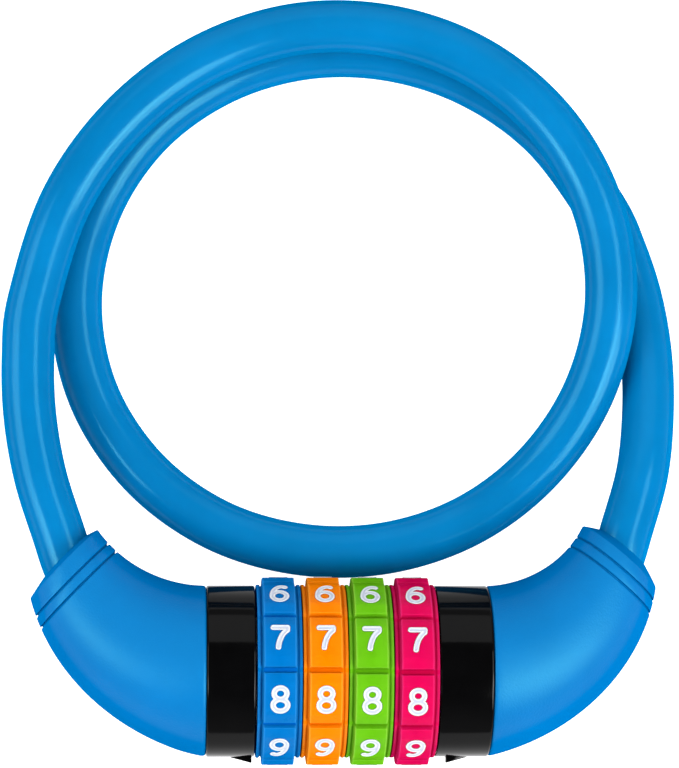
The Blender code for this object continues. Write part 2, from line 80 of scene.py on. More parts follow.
# Barrel, collars and dials: the CAD model's sizes, and the finer shapes that the photo adds
GAP = 0.3 * MM
TURNED_SIDES = 96
CORNER_SHARE = 0.45           # the most of an edge that one rounded corner takes
DIAL_WIDTH = 8.1 * MM
DIGITS = 10
SECTOR = 360.0 / DIGITS
BLOCK_RADIUS = 17.5 * MM
VALLEY_RADIUS = 16.4 * MM
RING_RADIUS = 16.2 * MM
CHANNEL_RADIUS = 15.90 * MM
DIAL_BORE = 10.7 * MM
DIAL_SIDE_RADIUS = 14.5 * MM  # from here inwards a dial's side takes the painted-shade colour
FACE_EDGE = 9.5               # degrees from a face's middle to where it starts to slope
SLOPE_EDGE = 15.9             # degrees from a face's middle to where it drops into the valley
VALLEY_EDGE = 16.9            # degrees from a face's middle to the valley's floor
SLOPE_DROP = 0.40 * MM
FACE_FLATNESS = 0.75          # 0 is a face as round as the dial, 1 a flat one
VALLEY_PAINTED_SHADE = 0.5             # how far the valleys turn to the painted-shade colour
EDGE_PAINTED_HIGHLIGHT = 0.5              # how far the blocks' edges turn to the painted-highlight colour
DIAL_PLAY = (-0.8, -0.6, 0.0, 0.8)   # degrees by which each dial stands off its click
STACK_HALF = 16.8 * MM
COLLAR_RADIUS = 16.05 * MM
COLLAR_END = 26.6 * MM
COLLAR_CHAMFER = 0.45 * MM
SEAM_SHIFT = {-1: -0.6 * MM, 1: 0.2 * MM}   # where the photo has each collar's end, from COLLAR_END
SEAM_GAP = 0.04 * MM
SEAM_FADE = 10.0              # a boot follows that shift over the first tenth of its length
COLLAR_WEB = 1.55 * MM
ANCHOR_RADIUS = 8.5 * MM
PLATE_RADIUS = 15.4 * MM
PLATE_WIDTH = 1.3 * MM
PLATE_EDGE = 0.25 * MM
PLATE_RECESS = 0.7 * MM
PLATE_LIP = 8.2 * MM
CORE_RADIUS = 5.4 * MM
PIN_RADIUS = 3.5 * MM
KEYWAY_WIDTH = 3.0 * MM
WINDOW_RADIUS = 7.2 * MM
NOTCH_ROOT = 2.0 * MM         # inside the end plate's hole
NOTCH_BEVEL = 0.1 * MM
SKIRT_THICKNESS = 0.35 * MM   # the right collar reaches over the end plate with a thin skirt
INDEX_HEIGHT = 1.1 * MM
INDEX_TAIL = 0.05 * MM        # height that is left at an index mark's far end
INDEX_ROOT = 1.0 * MM         # depth of an index mark's foot in its collar
INDEX_LENGTH = 4.0 * MM
INDEX_WIDTH = 2.6 * MM
INDEX_BEVEL = 0.15 * MM

# Boots and cable: side -1 is the left end and 1 the plug's; u runs from 0 at a collar to 1 at a mouth
BOOT_START = COLLAR_END + GAP
BOOT_RADIUS = 16.0 * MM
BOOT_FAN = {-1: (44.0, 46.7 * MM), 1: (49.4, 43.8 * MM)}   # bend in degrees, fan radius
BOOT_DRIFT = (6.5 * MM, 3.1 * MM)    # how the middle nears the fan's pivot, by u and by u squared
BOOT_TAPER = (5.4 * MM, 1.6 * MM)    # how the radius shrinks, by u and by u squared
BOOT_BORE = 5.75 * MM
BOOT_SHIFT = {-1: 0.0, 1: -0.7 * MM}   # drift of the skin's mouth along X
BOOT_SIDES = 72
BOOT_EDGE = 0.5 * MM                 # rounding at the collar
EDGE_SHARE = 0.02                    # share of the plain skin's length that this rounding takes
LIP_ROOT = 11.0 * MM                 # radius from which a boot's end leans over to the seam
SKIN_STEPS = 30
BORE_STEPS = 8
BORE_STRETCH = 0.1                   # the hole's extra width at the mouth, as a share
BOOT_GROOVES = {-1: (5.4 * MM, 3.3 * MM), 1: (4.6 * MM, 2.4 * MM)}   # distances before the mouth
GROOVE_MARGIN = 0.5 * MM
GROOVE_SEARCH = 0.3                  # u past which the search for a place on the skin begins
GROOVE_HALVINGS = 20
GROOVE_DEPTH = 0.5 * MM
# Across a groove: distance towards the collar in mm, share of the depth
GROOVE_PROFILE = (
    (0.34, 0.0), (0.26, 0.06), (0.17, 0.6), (0.07, 1.0), (-0.07, 1.0), (-0.17, 0.6), (-0.26, 0.06),
    (-0.34, 0.0),
)
# Up to the mouth's edge: distance before it and cut, both in mm
MOUTH_PROFILE = ((1.4, 0.0), (0.8, 0.0), (0.35, 0.0), (0.12, 0.03))
MOUTH_EDGE = 0.12 * MM
MOUTH_GRIP = 0.97                    # the hole in the mouth's dome, as a share of the cable's radius
BOOT_DOME = {-1: 0.9 * MM, 1: 1.3 * MM}
DOME_STEPS = (0.0, 0.05, 0.15, 0.3, 0.45, 0.6, 0.75, 0.9, 1.0)
CABLE_RADIUS = 5.0 * MM
CABLE_SIDES = 32
CURVE_STEPS = 16
BARE_END = 10.2 * MM
FERRULE_START = 21.3 * MM
FERRULE_END = 30.8 * MM
FERRULE_TILT = 10.0
FERRULE_LEVEL = 0.13                 # u at which the cable is as far along Y as the ferrule's end
FERRULE_ROUTE = (1.6, 6.0)           # mm along a ferrule at which the cable's route passes
BOOT_ROUTE = (0.17, 0.38, 0.6, 0.8, 0.97)   # u at which the cable's route passes
CABLE_OFFSET = 0.9 * MM
LOOP_CENTRE = Vector((0.0, 71.0 * MM))
# The free run of the cable as bearing in degrees, radius in mm and height in mm
LOOP = (
    (-139.8, 70.3, 17.6), (-149.0, 66.8, 17.4), (-158.9, 63.6, 17.0), (-169.0, 60.9, 16.4),
    (-179.1, 58.8, 16.0), (-199.3, 55.8, 15.6), (-219.7, 53.8, 15.5), (-240.0, 52.8, 15.5),
    (-260.3, 52.5, 15.5), (-280.4, 52.3, 15.5), (-300.3, 52.4, 15.6), (-320.3, 52.3, 15.8),
    (-340.3, 51.9, 15.9), (-360.2, 51.3, 15.2), (-379.8, 50.5, 12.6), (-399.2, 49.6, 8.6),
    (-418.8, 48.8, 5.8), (-438.9, 48.2, 5.1), (-459.1, 48.3, 5.0), (-479.3, 49.2, 5.0),
    (-499.6, 50.2, 5.0), (-520.0, 51.0, 5.0), (-540.4, 51.1, 5.0), (-560.8, 50.7, 5.0),
    (-581.1, 50.2, 5.0), (-601.3, 49.6, 5.0), (-621.2, 49.4, 5.0), (-640.8, 49.7, 5.0),
    (-660.3, 50.7, 5.0), (-679.7, 52.3, 5.0), (-699.2, 54.3, 5.0), (-709.1, 55.8, 5.2),
    (-719.1, 57.7, 6.0), (-729.5, 59.9, 8.2), (-739.9, 62.5, 12.0), (-750.2, 66.0, 15.6),
    (-759.8, 69.7, 17.4),
)
RING_STEP = 1.6 * MM          # distance between the cable's rings

# Camera, from the point of the floor below the barrel's middle
CAMERA_PLACE = Vector((-33.8, 0.0, 617.5)) * MM
CAMERA_TARGET = Vector((-0.483, 54.855, 10.0)) * MM
CAMERA_LENS = 168.8
CAMERA_SENSOR = 36.0

# Studio
LIGHT_AIM = Vector((0.0, 0.04, 0.0))   # what the softboxes point at, from the barrel's axis
LIGHT_DISTANCE = 0.9
HORIZON_GREY = 0.55
OVERHEAD_GREY = 0.10
OVERHEAD_HEIGHT = 0.85
FLOOR_HALF = 1.6
FLOOR_GLOW = 1.05

# Materials
SCATTER = (0.4, 0.8, 1.0)     # how far red, green and blue light wander in the plastics
RIM_FACING = 0.5              # Layer Weight's facing at which the gloss is down to the rim's level
ROUGHNESS_SPREAD = 0.06
LEAST_ROUGHNESS = 0.02
BUMP_HEIGHT = 0.1 * MM


# ---------------------------------------------------------------- camera, light and floor

def make_camera():
    """The photo's camera: high above the barrel, looking nearly straight down at the lock."""
    camera = bpy.data.cameras.new("camera")
    camera.sensor_fit = "HORIZONTAL"
    camera.sensor_width = CAMERA_SENSOR
    camera.lens = CAMERA_LENS
    camera.clip_start = 0.01
    obj = bpy.data.objects.new("camera", camera)
    bpy.context.collection.objects.link(obj)
    forward = (CAMERA_TARGET - CAMERA_PLACE).normalized()
    right = forward.cross(Vector((0.0, 1.0, 0.0))).normalized()
    up = right.cross(forward)
    turn = Matrix((right, up, -forward)).transposed().to_4x4()
    floor_point = Vector((AXIS.x, AXIS.y, 0.0))
    obj.matrix_world = Matrix.Translation(floor_point + CAMERA_PLACE) @ turn
    bpy.context.scene.camera = obj


def make_softbox(name, bearing, tilt, size, radiance, mirrored=True):
    """A rectangular light aimed at the lock: bearing from +X about +Z, tilt from straight up."""
    light = bpy.data.lights.new(name, "AREA")
    light.shape = "RECTANGLE"
    light.size, light.size_y = size
    light.energy = radiance * math.pi * size[0] * size[1]
    obj = bpy.data.objects.new(name, light)
    obj.visible_glossy = mirrored
    bpy.context.collection.objects.link(obj)
    turn = (Matrix.Rotation(math.radians(bearing + 90.0), 4, "Z")
            @ Matrix.Rotation(math.radians(tilt), 4, "X"))
    away = Matrix.Translation((0.0, 0.0, LIGHT_DISTANCE))
    obj.matrix_world = Matrix.Translation(AXIS + LIGHT_AIM) @ turn @ away


def make_world():
    """A studio that is pale near the horizon and darker overhead."""
    world = bpy.data.worlds.new("studio")
    world.use_nodes = True
    nodes = world.node_tree.nodes
    links = world.node_tree.links
    background = nodes["Background"]
    coordinates = nodes.new("ShaderNodeTexCoord")
    split = nodes.new("ShaderNodeSeparateXYZ")
    ramp = nodes.new("ShaderNodeValToRGB")
    links.new(coordinates.outputs["Generated"], split.inputs[0])
    links.new(split.outputs["Z"], ramp.inputs["Fac"])
    links.new(ramp.outputs["Color"], background.inputs["Color"])
    greys = ((0.0, HORIZON_GREY), (OVERHEAD_HEIGHT, OVERHEAD_GREY))
    for element, (height, grey) in zip(ramp.color_ramp.elements, greys):
        element.position = height
        element.color = (grey, grey, grey, 1.0)
    bpy.context.scene.world = world


def make_stage():
    """The studio, its lights and the pale floor, which glows so that it is white in the picture."""
    make_world()
    make_softbox("left_softbox", 178.0, 56.0, (0.80, 0.46), 5.6)
    make_softbox("right_softbox", 356.0, 33.0, (0.80, 0.26), 6.0)
    make_softbox("front_left_softbox", 206.0, 50.0, (0.34, 0.36), 8.2)
    make_softbox("front_right_softbox", 326.0, 49.0, (0.58, 0.50), 11.0)
    make_softbox("back_softbox", 90.0, 58.5, (1.0, 0.71), 0.95)
    make_softbox("top_fill", 90.0, 8.0, (1.2, 1.2), 2.0, mirrored=False)
    make_softbox("front_fill", 270.0, 70.0, (1.0, 0.30), 2.0, mirrored=False)
    bm = bmesh.new()
    bmesh.ops.create_grid(bm, x_segments=1, y_segments=1, size=FLOOR_HALF)
    mesh = bpy.data.meshes.new("floor")
    bm.to_mesh(mesh)
    bm.free()
    floor = bpy.data.objects.new("floor", mesh)
    bpy.context.collection.objects.link(floor)
    paper = make_material("floor_paper", (0.45, 0.45, 0.45), roughness=0.9, mottle=(6.0, 0.01),
                          grain=(900.0, 0.05), specular=0.1)
    glow = paper.node_tree.nodes["Principled BSDF"].inputs
    glow["Emission Color"].default_value = (1.0, 1.0, 1.0, 1.0)
    glow["Emission Strength"].default_value = FLOOR_GLOW
    floor.data.materials.append(paper)


# ---------------------------------------------------------------- materials

def shade(colour, factor):
    """A colour made darker or lighter by a factor."""
    return tuple(min(1.0, channel * factor) for channel in colour)


def make_material(name, colour, roughness, mottle, grain, metallic=0.0, worn=0.0, specular=0.5,
                  tint=(1.0, 1.0, 1.0), soft=0.0, bleed=1.5 * MM, zones=(), rim=None):
    """A plastic or metal with mottled colour, uneven roughness and a fine grain.

    mottle and grain are (details per metre, strength).  worn widens the range of the roughness.
    soft is the share of light that wanders inside the piece, over the length bleed.  zones are
    (attribute, colour): the colour that the surface turns to where that attribute of the mesh is 1.
    rim is the specular level seen along the surface, where it differs from the one straight on.
    """
    mat = bpy.data.materials.new(name)
    mat.use_nodes = True
    nodes = mat.node_tree.nodes
    links = mat.node_tree.links
    shader = nodes["Principled BSDF"]
    shader.inputs["Metallic"].default_value = metallic
    shader.inputs["Specular IOR Level"].default_value = specular
    shader.inputs["Specular Tint"].default_value = (*tint, 1.0)
    shader.inputs["Subsurface Weight"].default_value = soft
    shader.inputs["Subsurface Radius"].default_value = SCATTER
    shader.inputs["Subsurface Scale"].default_value = bleed
    if rim is not None:
        facing = nodes.new("ShaderNodeLayerWeight")
        gloss_level = nodes.new("ShaderNodeMapRange")
        gloss_level.interpolation_type = "SMOOTHSTEP"
        gloss_level.inputs["From Min"].default_value = 0.0
        gloss_level.inputs["From Max"].default_value = RIM_FACING
        gloss_level.inputs["To Min"].default_value = specular
        gloss_level.inputs["To Max"].default_value = rim
        links.new(facing.outputs["Facing"], gloss_level.inputs["Value"])
        links.new(gloss_level.outputs["Result"], shader.inputs["Specular IOR Level"])

    where = nodes.new("ShaderNodeTexCoord").outputs["Object"]
    blotches = nodes.new("ShaderNodeTexNoise")
    blotches.inputs["Scale"].default_value = mottle[0]
    blotches.inputs["Detail"].default_value = 4.0
    links.new(where, blotches.inputs["Vector"])
    tones = nodes.new("ShaderNodeValToRGB")
    tones.color_ramp.elements[0].position = 0.3
    tones.color_ramp.elements[0].color = (*shade(colour, 1.0 - mottle[1]), 1.0)
    tones.color_ramp.elements[1].position = 0.7
    tones.color_ramp.elements[1].color = (*shade(colour, 1.0 + mottle[1]), 1.0)
    links.new(blotches.outputs["Fac"], tones.inputs["Fac"])
    surface = tones.outputs["Color"]
    for attribute, zone_colour in zones:
        zone = nodes.new("ShaderNodeAttribute")
        zone.attribute_name = attribute
        mix = nodes.new("ShaderNodeMix")
        mix.data_type = "RGBA"
        mix.inputs["B"].default_value = (*zone_colour, 1.0)
        links.new(zone.outputs["Fac"], mix.inputs["Factor"])
        links.new(surface, mix.inputs["A"])
        surface = mix.outputs["Result"]
    links.new(surface, shader.inputs["Base Color"])

    speckle = nodes.new("ShaderNodeTexNoise")
    speckle.inputs["Scale"].default_value = grain[0]
    speckle.inputs["Detail"].default_value = 3.0
    links.new(where, speckle.inputs["Vector"])
    gloss = nodes.new("ShaderNodeMapRange")
    gloss.inputs["To Min"].default_value = max(LEAST_ROUGHNESS, roughness - ROUGHNESS_SPREAD - worn)
    gloss.inputs["To Max"].default_value = roughness + ROUGHNESS_SPREAD + worn
    links.new(blotches.outputs["Fac"], gloss.inputs["Value"])
    links.new(gloss.outputs["Result"], shader.inputs["Roughness"])
    bump = nodes.new("ShaderNodeBump")
    bump.inputs["Strength"].default_value = grain[1]
    bump.inputs["Distance"].default_value = BUMP_HEIGHT
    links.new(speckle.outputs["Fac"], bump.inputs["Height"])
    links.new(bump.outputs["Normal"], shader.inputs["Normal"])
    return mat


# ---------------------------------------------------------------- mesh helpers

def around(x, radius, degrees):
    """A point at an angle about the barrel's axis."""
    angle = math.radians(degrees)
    return Vector((x, radius * math.cos(angle), radius * math.sin(angle)))


def bridge(bm, low, high):
    """Quads between two closed loops of the same length."""
    for i in range(len(low)):
        j = (i + 1) % len(low)
        bm.faces.new((low[i], low[j], high[j], high[i]))


def add_piece(name, bm, materials, body, nodes, sharp=40.0):
    """Turns a mesh built about the barrel's axis into a piece, which rides on a body if one is given."""
    bmesh.ops.recalc_face_normals(bm, faces=bm.faces)
    bmesh.ops.translate(bm, verts=bm.verts, vec=AXIS)
    mesh = bpy.data.meshes.new(name)
    bm.to_mesh(mesh)
    bm.free()
    mesh.shade_smooth()
    mesh.set_sharp_from_angle(angle=math.radians(sharp))
    for mat in materials:
        mesh.materials.append(mat)
    obj = bpy.data.objects.new(name, mesh)
    bpy.context.collection.objects.link(obj)
    if body:
        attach(obj, body)
    if nodes:
        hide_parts(*nodes)
    return obj


def rounded(profile, radius, steps=4):
    """Rounds the corners of a closed (x, radius) outline."""
    points = [Vector(point) for point in profile]
    outline = []
    for before, corner, after in zip(points[-1:] + points[:-1], points, points[1:] + points[:1]):
        into = before - corner
        out = after - corner
        reach = min(radius, into.length * CORNER_SHARE, out.length * CORNER_SHARE)
        start = corner + into.normalized() * reach
        end = corner + out.normalized() * reach
        for i in range(steps + 1):
            t = i / steps
            outline.append(start * (1 - t) ** 2 + corner * 2 * t * (1 - t) + end * t * t)
    return outline


def turned(profile):
    """Turns a closed (x, radius) outline about the barrel's axis."""
    bm = bmesh.new()
    rings = [[bm.verts.new(around(x, radius, 360.0 * i / TURNED_SIDES)) for i in range(TURNED_SIDES)]
             for x, radius in profile]
    for i, ring in enumerate(rings):
        bridge(bm, ring, rings[(i + 1) % len(rings)])
    return bm


def bevel_edges(bm, edges, width):
    """Rounds edges of a mesh a little."""
    bmesh.ops.bevel(bm, geom=list(edges), offset=width, segments=2, affect="EDGES", profile=0.5)


def add_box(bm, low, high, bevel):
    """Adds an upright box with rounded edges between two corners."""
    low = Vector(low)
    high = Vector(high)
    made = bmesh.ops.create_cube(bm, size=1.0)["verts"]
    for vert in made:
        vert.co = Vector(a * b for a, b in zip(vert.co, high - low)) + (low + high) / 2
    bevel_edges(bm, {edge for vert in made for edge in vert.link_edges}, bevel)


# ---------------------------------------------------------------- cable

def boot_section(side, u):
    """Middle, in-plane direction and radius of a boot's section at u from collar to mouth."""
    bend, fan = BOOT_FAN[side]
    angle = math.radians(bend * u)
    distance = fan - BOOT_DRIFT[0] * u - BOOT_DRIFT[1] * u * u
    radius = BOOT_RADIUS - BOOT_TAPER[0] * u - BOOT_TAPER[1] * u * u
    outwards = Vector((side * math.sin(angle), -math.cos(angle), 0.0))
    pivot = Vector((side * BOOT_START, fan, 0.0))
    return pivot + outwards * distance, outwards, radius


def cable_in_boot(side, u):
    """The cable's middle inside a boot, a little inwards of the boot's own middle."""
    middle, outwards, _ = boot_section(side, u)
    return middle - outwards * CABLE_OFFSET * u


def ferrule_axis(side):
    """Start point and direction of a ferrule, tilted towards the boot's mouth."""
    tilt = math.radians(FERRULE_TILT)
    direction = Vector((side * math.cos(tilt), math.sin(tilt), 0.0))
    end = Vector((side * FERRULE_END, cable_in_boot(side, FERRULE_LEVEL).y, 0.0))
    return end - direction * ((FERRULE_END - FERRULE_START) / math.cos(tilt)), direction


def route_points():
    """The cable's route from ferrule to ferrule, from the barrel's axis."""
    points = []
    start, direction = ferrule_axis(-1)
    points += [start + direction * distance * MM for distance in FERRULE_ROUTE]
    points += [cable_in_boot(-1, u) for u in BOOT_ROUTE]
    for bearing, radius, height in LOOP:
        angle = math.radians(bearing)
        flat = LOOP_CENTRE + radius * MM * Vector((math.cos(angle), math.sin(angle)))
        points.append(Vector((flat.x, flat.y, height * MM - AXIS.z)))
    points += [cable_in_boot(1, u) for u in reversed(BOOT_ROUTE)]
    start, direction = ferrule_axis(1)
    points += [start + direction * distance * MM for distance in reversed(FERRULE_ROUTE)]
    return points


def smooth_curve(points):
    """A dense Catmull-Rom curve through the points."""
    curve = []
    ends = [2 * points[0] - points[1]] + points + [2 * points[-1] - points[-2]]
    for a, b, c, d in zip(ends, ends[1:], ends[2:], ends[3:]):
        for i in range(CURVE_STEPS):
            t = i / CURVE_STEPS
            curve.append(0.5 * (2 * b + (c - a) * t + (2 * a - 5 * b + 4 * c - d) * t * t
                                + (3 * b - a - 3 * c + d) * t ** 3))
    curve.append(points[-1])
    return curve


def evenly_spaced(curve, skip, step):
    """Points at an even distance along the curve, leaving out the given length at each end."""
    lengths = [0.0]
    for a, b in zip(curve, curve[1:]):
        lengths.append(lengths[-1] + (b - a).length)
    count = round((lengths[-1] - 2 * skip) / step)
    spaced = []
    j = 0
    for i in range(count + 1):
        target = skip + (lengths[-1] - 2 * skip) * i / count
        while j < len(curve) - 2 and lengths[j + 1] < target:
            j += 1
        t = (target - lengths[j]) / (lengths[j + 1] - lengths[j])
        spaced.append(curve[j].lerp(curve[j + 1], t))
    return spaced


def tube(points, radius, sides):
    """A closed round tube along the points, with frames carried along without twist."""
    bm = bmesh.new()
    across = UP
    rings = []
    last = len(points) - 1
    for i, point in enumerate(points):
        tangent = (points[min(i + 1, last)] - points[max(i - 1, 0)]).normalized()
        across = (across - tangent * across.dot(tangent)).normalized()
        other = tangent.cross(across)
        rings.append([bm.verts.new(point + radius * (across * math.cos(a) + other * math.sin(a)))
                      for a in (2 * math.pi * k / sides for k in range(sides))])
    for low, high in zip(rings, rings[1:]):
        bridge(bm, low, high)
    bm.faces.new(rings[0])
    bm.faces.new(rings[-1])
    return bm


def make_cable():
    """The vinyl-sheathed cable: one tube along its route from ferrule to ferrule."""
    mat = make_material("cable_vinyl_gloss", (0.0, 0.099, 0.252), roughness=0.18, mottle=(60.0, 0.08),
                        grain=(350.0, 0.05), specular=0.30, tint=(0.20, 0.80, 0.85), soft=0.3,
                        bleed=2.0 * MM, rim=0.0)
    curve = smooth_curve(route_points())
    places = evenly_spaced(curve, BARE_END, RING_STEP)
    cable = add_piece("cable", tube(places, CABLE_RADIUS, CABLE_SIDES), [mat], None,
                      ("cable_sheath", "cable_core"))
    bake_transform(cable)


# ---------------------------------------------------------------- boots

def skin_section(side, u):
    """A section of a boot's skin, which reaches to the seam and may drift sideways at its mouth."""
    middle, outwards, radius = boot_section(side, u)
    fade = max(0.0, 1.0 - SEAM_FADE * u)
    reach = BOOT_START - COLLAR_END - SEAM_SHIFT[side] - SEAM_GAP
    shift = BOOT_SHIFT[side] * u * u - side * reach * fade * fade
    return middle + Vector((shift, 0.0, 0.0)), outwards, radius


def skin_point(side, u, angle, cut=0.0):
    """A point of a boot's skin, cut deeper by the given length."""
    middle, outwards, radius = skin_section(side, u)
    reach = radius - cut
    return middle + outwards * (reach * math.cos(angle)) + Vector((0.0, 0.0, reach * math.sin(angle)))


def boot_mouth(side):
    """Middle, in-plane direction, radius and forward direction of the mouth of a boot's skin."""
    middle, outwards, radius = skin_section(side, 1.0)
    return middle, outwards, radius, outwards.cross(UP) * -side


def along_boot(side, angle, gap):
    """How far along a boot its skin is still the given distance before the mouth's plane."""
    mouth, _, _, forward = boot_mouth(side)
    low = GROOVE_SEARCH
    high = 1.0
    for _ in range(GROOVE_HALVINGS):
        u = (low + high) / 2
        if (mouth - skin_point(side, u, angle)).dot(forward) > gap:
            low = u
        else:
            high = u
    return high


def boot_stations(side):
    """Stations along a boot's skin as (share of the plain part, distance before the mouth, cut)."""
    plain = BOOT_GROOVES[side][0] + GROOVE_MARGIN
    stations = []
    for degrees in (0.0, 22.5, 45.0, 67.5, 90.0):
        angle = math.radians(degrees)
        cut = BOOT_EDGE * (1.0 - math.sin(angle))
        stations.append((EDGE_SHARE * (1.0 - math.cos(angle)), plain, cut))
    for i in range(1, SKIN_STEPS + 1):
        stations.append((EDGE_SHARE + (1.0 - EDGE_SHARE) * i / SKIN_STEPS, plain, 0.0))
    for middle in BOOT_GROOVES[side]:
        stations += [(1.0, middle + offset * MM, cut * GROOVE_DEPTH) for offset, cut in GROOVE_PROFILE]
    return stations + [(1.0, gap * MM, cut * MM) for gap, cut in MOUTH_PROFILE]


def ring_in_plane(bm, middle, outwards, radius, stretch=1.0):
    """A round loop in the upright plane that holds the given direction, wider along it by stretch."""
    loop = []
    for i in range(BOOT_SIDES):
        angle = 2 * math.pi * i / BOOT_SIDES
        offset = outwards * (radius * stretch * math.cos(angle))
        loop.append(bm.verts.new(middle + offset + Vector((0.0, 0.0, radius * math.sin(angle)))))
    return loop


def make_boot(name, side, body, mat):
    """A curved, tapering vinyl boot with two grooves and a domed mouth that grips the cable."""
    bm = bmesh.new()
    loops = []
    angles = [2 * math.pi * i / BOOT_SIDES for i in range(BOOT_SIDES)]
    for share, gap, cut in boot_stations(side):
        loops.append([bm.verts.new(skin_point(side, share * along_boot(side, angle, gap), angle, cut))
                      for angle in angles])
    middle, outwards, radius, forward = boot_mouth(side)
    hole = cable_in_boot(side, 1.0)
    rim = radius - MOUTH_EDGE
    for t in DOME_STEPS:
        place = middle.lerp(hole, t) + forward * (BOOT_DOME[side] * t)
        size = rim + (MOUTH_GRIP * CABLE_RADIUS - rim) * t
        loops.append(ring_in_plane(bm, place, outwards, size, 1.0 + BORE_STRETCH * t))
    for i in range(BORE_STEPS + 1):
        u = 1.0 - i / BORE_STEPS
        _, outwards, _ = boot_section(side, u)
        place = cable_in_boot(side, u)
        loops.append(ring_in_plane(bm, place, outwards, BOOT_BORE, 1.0 + BORE_STRETCH * u))
    loops.append(ring_in_plane(bm, cable_in_boot(side, 0.0), outwards, LIP_ROOT))
    for low, high in zip(loops, loops[1:]):
        bridge(bm, low, high)
    bridge(bm, loops[-1], loops[0])
    add_piece(name, bm, [mat], body, (name.replace("_shell", ""),), sharp=50.0)


# ---------------------------------------------------------------- collars and end plate

def index_wedge(bm, side, web_end):
    """The index mark: highest by the dials, running out to nothing along the collar."""
    near = web_end + COLLAR_CHAMFER
    far = near + INDEX_LENGTH
    root = COLLAR_RADIUS - INDEX_ROOT
    loops = []
    for x, height, half in ((near, COLLAR_RADIUS + INDEX_HEIGHT, INDEX_WIDTH / 2),
                            (far, COLLAR_RADIUS + INDEX_TAIL, INDEX_WIDTH / 4)):
        loops.append([bm.verts.new((side * x, -y, z)) for y, z in
                      ((root, -half), (height, -half), (height, half), (root, half))])
    made = [bm.faces.new(loops[0]), bm.faces.new(loops[1])]
    before = set(bm.faces)
    bridge(bm, loops[0], loops[1])
    made += [face for face in bm.faces if face not in before]
    bevel_edges(bm, {edge for face in made for edge in face.edges}, INDEX_BEVEL)


def make_collar(name, side, web_end, hole, body, mat, skirt=0.0):
    """A cup-shaped collar with an index mark; a skirt reaches that far past its web."""
    end = side * (COLLAR_END + SEAM_SHIFT[side])
    profile = [(end, ANCHOR_RADIUS + GAP), (end, COLLAR_RADIUS)]
    if skirt:
        profile += [
            (side * (web_end - skirt), COLLAR_RADIUS),
            (side * (web_end - skirt), COLLAR_RADIUS - SKIRT_THICKNESS),
            (side * web_end, COLLAR_RADIUS - SKIRT_THICKNESS),
        ]
    else:
        profile.append((side * web_end, COLLAR_RADIUS))
    profile += [
        (side * web_end, hole),
        (side * (web_end + COLLAR_WEB), hole),
        (side * (web_end + COLLAR_WEB), ANCHOR_RADIUS + GAP),
    ]
    bm = turned(rounded(profile, COLLAR_CHAMFER))
    index_wedge(bm, side, web_end)
    add_piece(f"{name}_shell", bm, [mat], body, (name,))


def cut_boolean(bm, cutter_bm):
    """The difference of two meshes, with Blender's exact solver."""
    objects = []
    for name, source in (("cut_target", bm), ("cut_tool", cutter_bm)):
        bmesh.ops.recalc_face_normals(source, faces=source.faces)
        mesh = bpy.data.meshes.new(name)
        source.to_mesh(mesh)
        source.free()
        obj = bpy.data.objects.new(name, mesh)
        bpy.context.collection.objects.link(obj)
        objects.append(obj)
    target, tool = objects
    modifier = target.modifiers.new("cut", "BOOLEAN")
    modifier.operation = "DIFFERENCE"
    modifier.solver = "EXACT"
    modifier.object = tool
    bpy.context.view_layer.update()
    result = bmesh.new()
    result.from_object(target, bpy.context.evaluated_depsgraph_get())
    for obj in objects:
        bpy.data.objects.remove(obj, do_unlink=True)
    return result


def make_end_plate(mat):
    """The plate that keeps the dials on the barrel, with a recess and a notch for the teeth."""
    start = STACK_HALF + GAP / 2
    end = start + PLATE_WIDTH
    profile = [(start, CORE_RADIUS + GAP), (start, PLATE_RADIUS), (end, PLATE_RADIUS), (end, PLATE_LIP),
               (end - PLATE_RECESS, PLATE_LIP), (end - PLATE_RECESS, CORE_RADIUS + GAP)]
    notch = bmesh.new()
    half = KEYWAY_WIDTH / 2
    add_box(notch, (start - MM, -WINDOW_RADIUS, -half), (end + MM, -NOTCH_ROOT, half), NOTCH_BEVEL)
    bm = cut_boolean(turned(rounded(profile, PLATE_EDGE, 3)), notch)
    add_piece("end_plate_shell", bm, [mat], "barrel", ("barrel_end_plate",))


# ---------------------------------------------------------------- dials

def sector_offset(degrees):
    """Angle from the middle of the nearest sector."""
    return abs((degrees + SECTOR / 2) % SECTOR - SECTOR / 2)


def smooth_step(t):
    """0 to 1 as t goes from 0 to 1, level at both ends."""
    t = max(0.0, min(1.0, t))
    return t * t * (3.0 - 2.0 * t)


def block_radius(offset):
    """Radius of a digit block's face, which falls away into the valley beside it."""
    face = BLOCK_RADIUS / math.cos(math.radians(min(offset, FACE_EDGE)) * FACE_FLATNESS)
    face -= SLOPE_DROP * min(1.0, max(0.0, (offset - FACE_EDGE) / (SLOPE_EDGE - FACE_EDGE)))
    fall = smooth_step((offset - SLOPE_EDGE) / (VALLEY_EDGE - SLOPE_EDGE))
    return face + (VALLEY_RADIUS - face) * fall


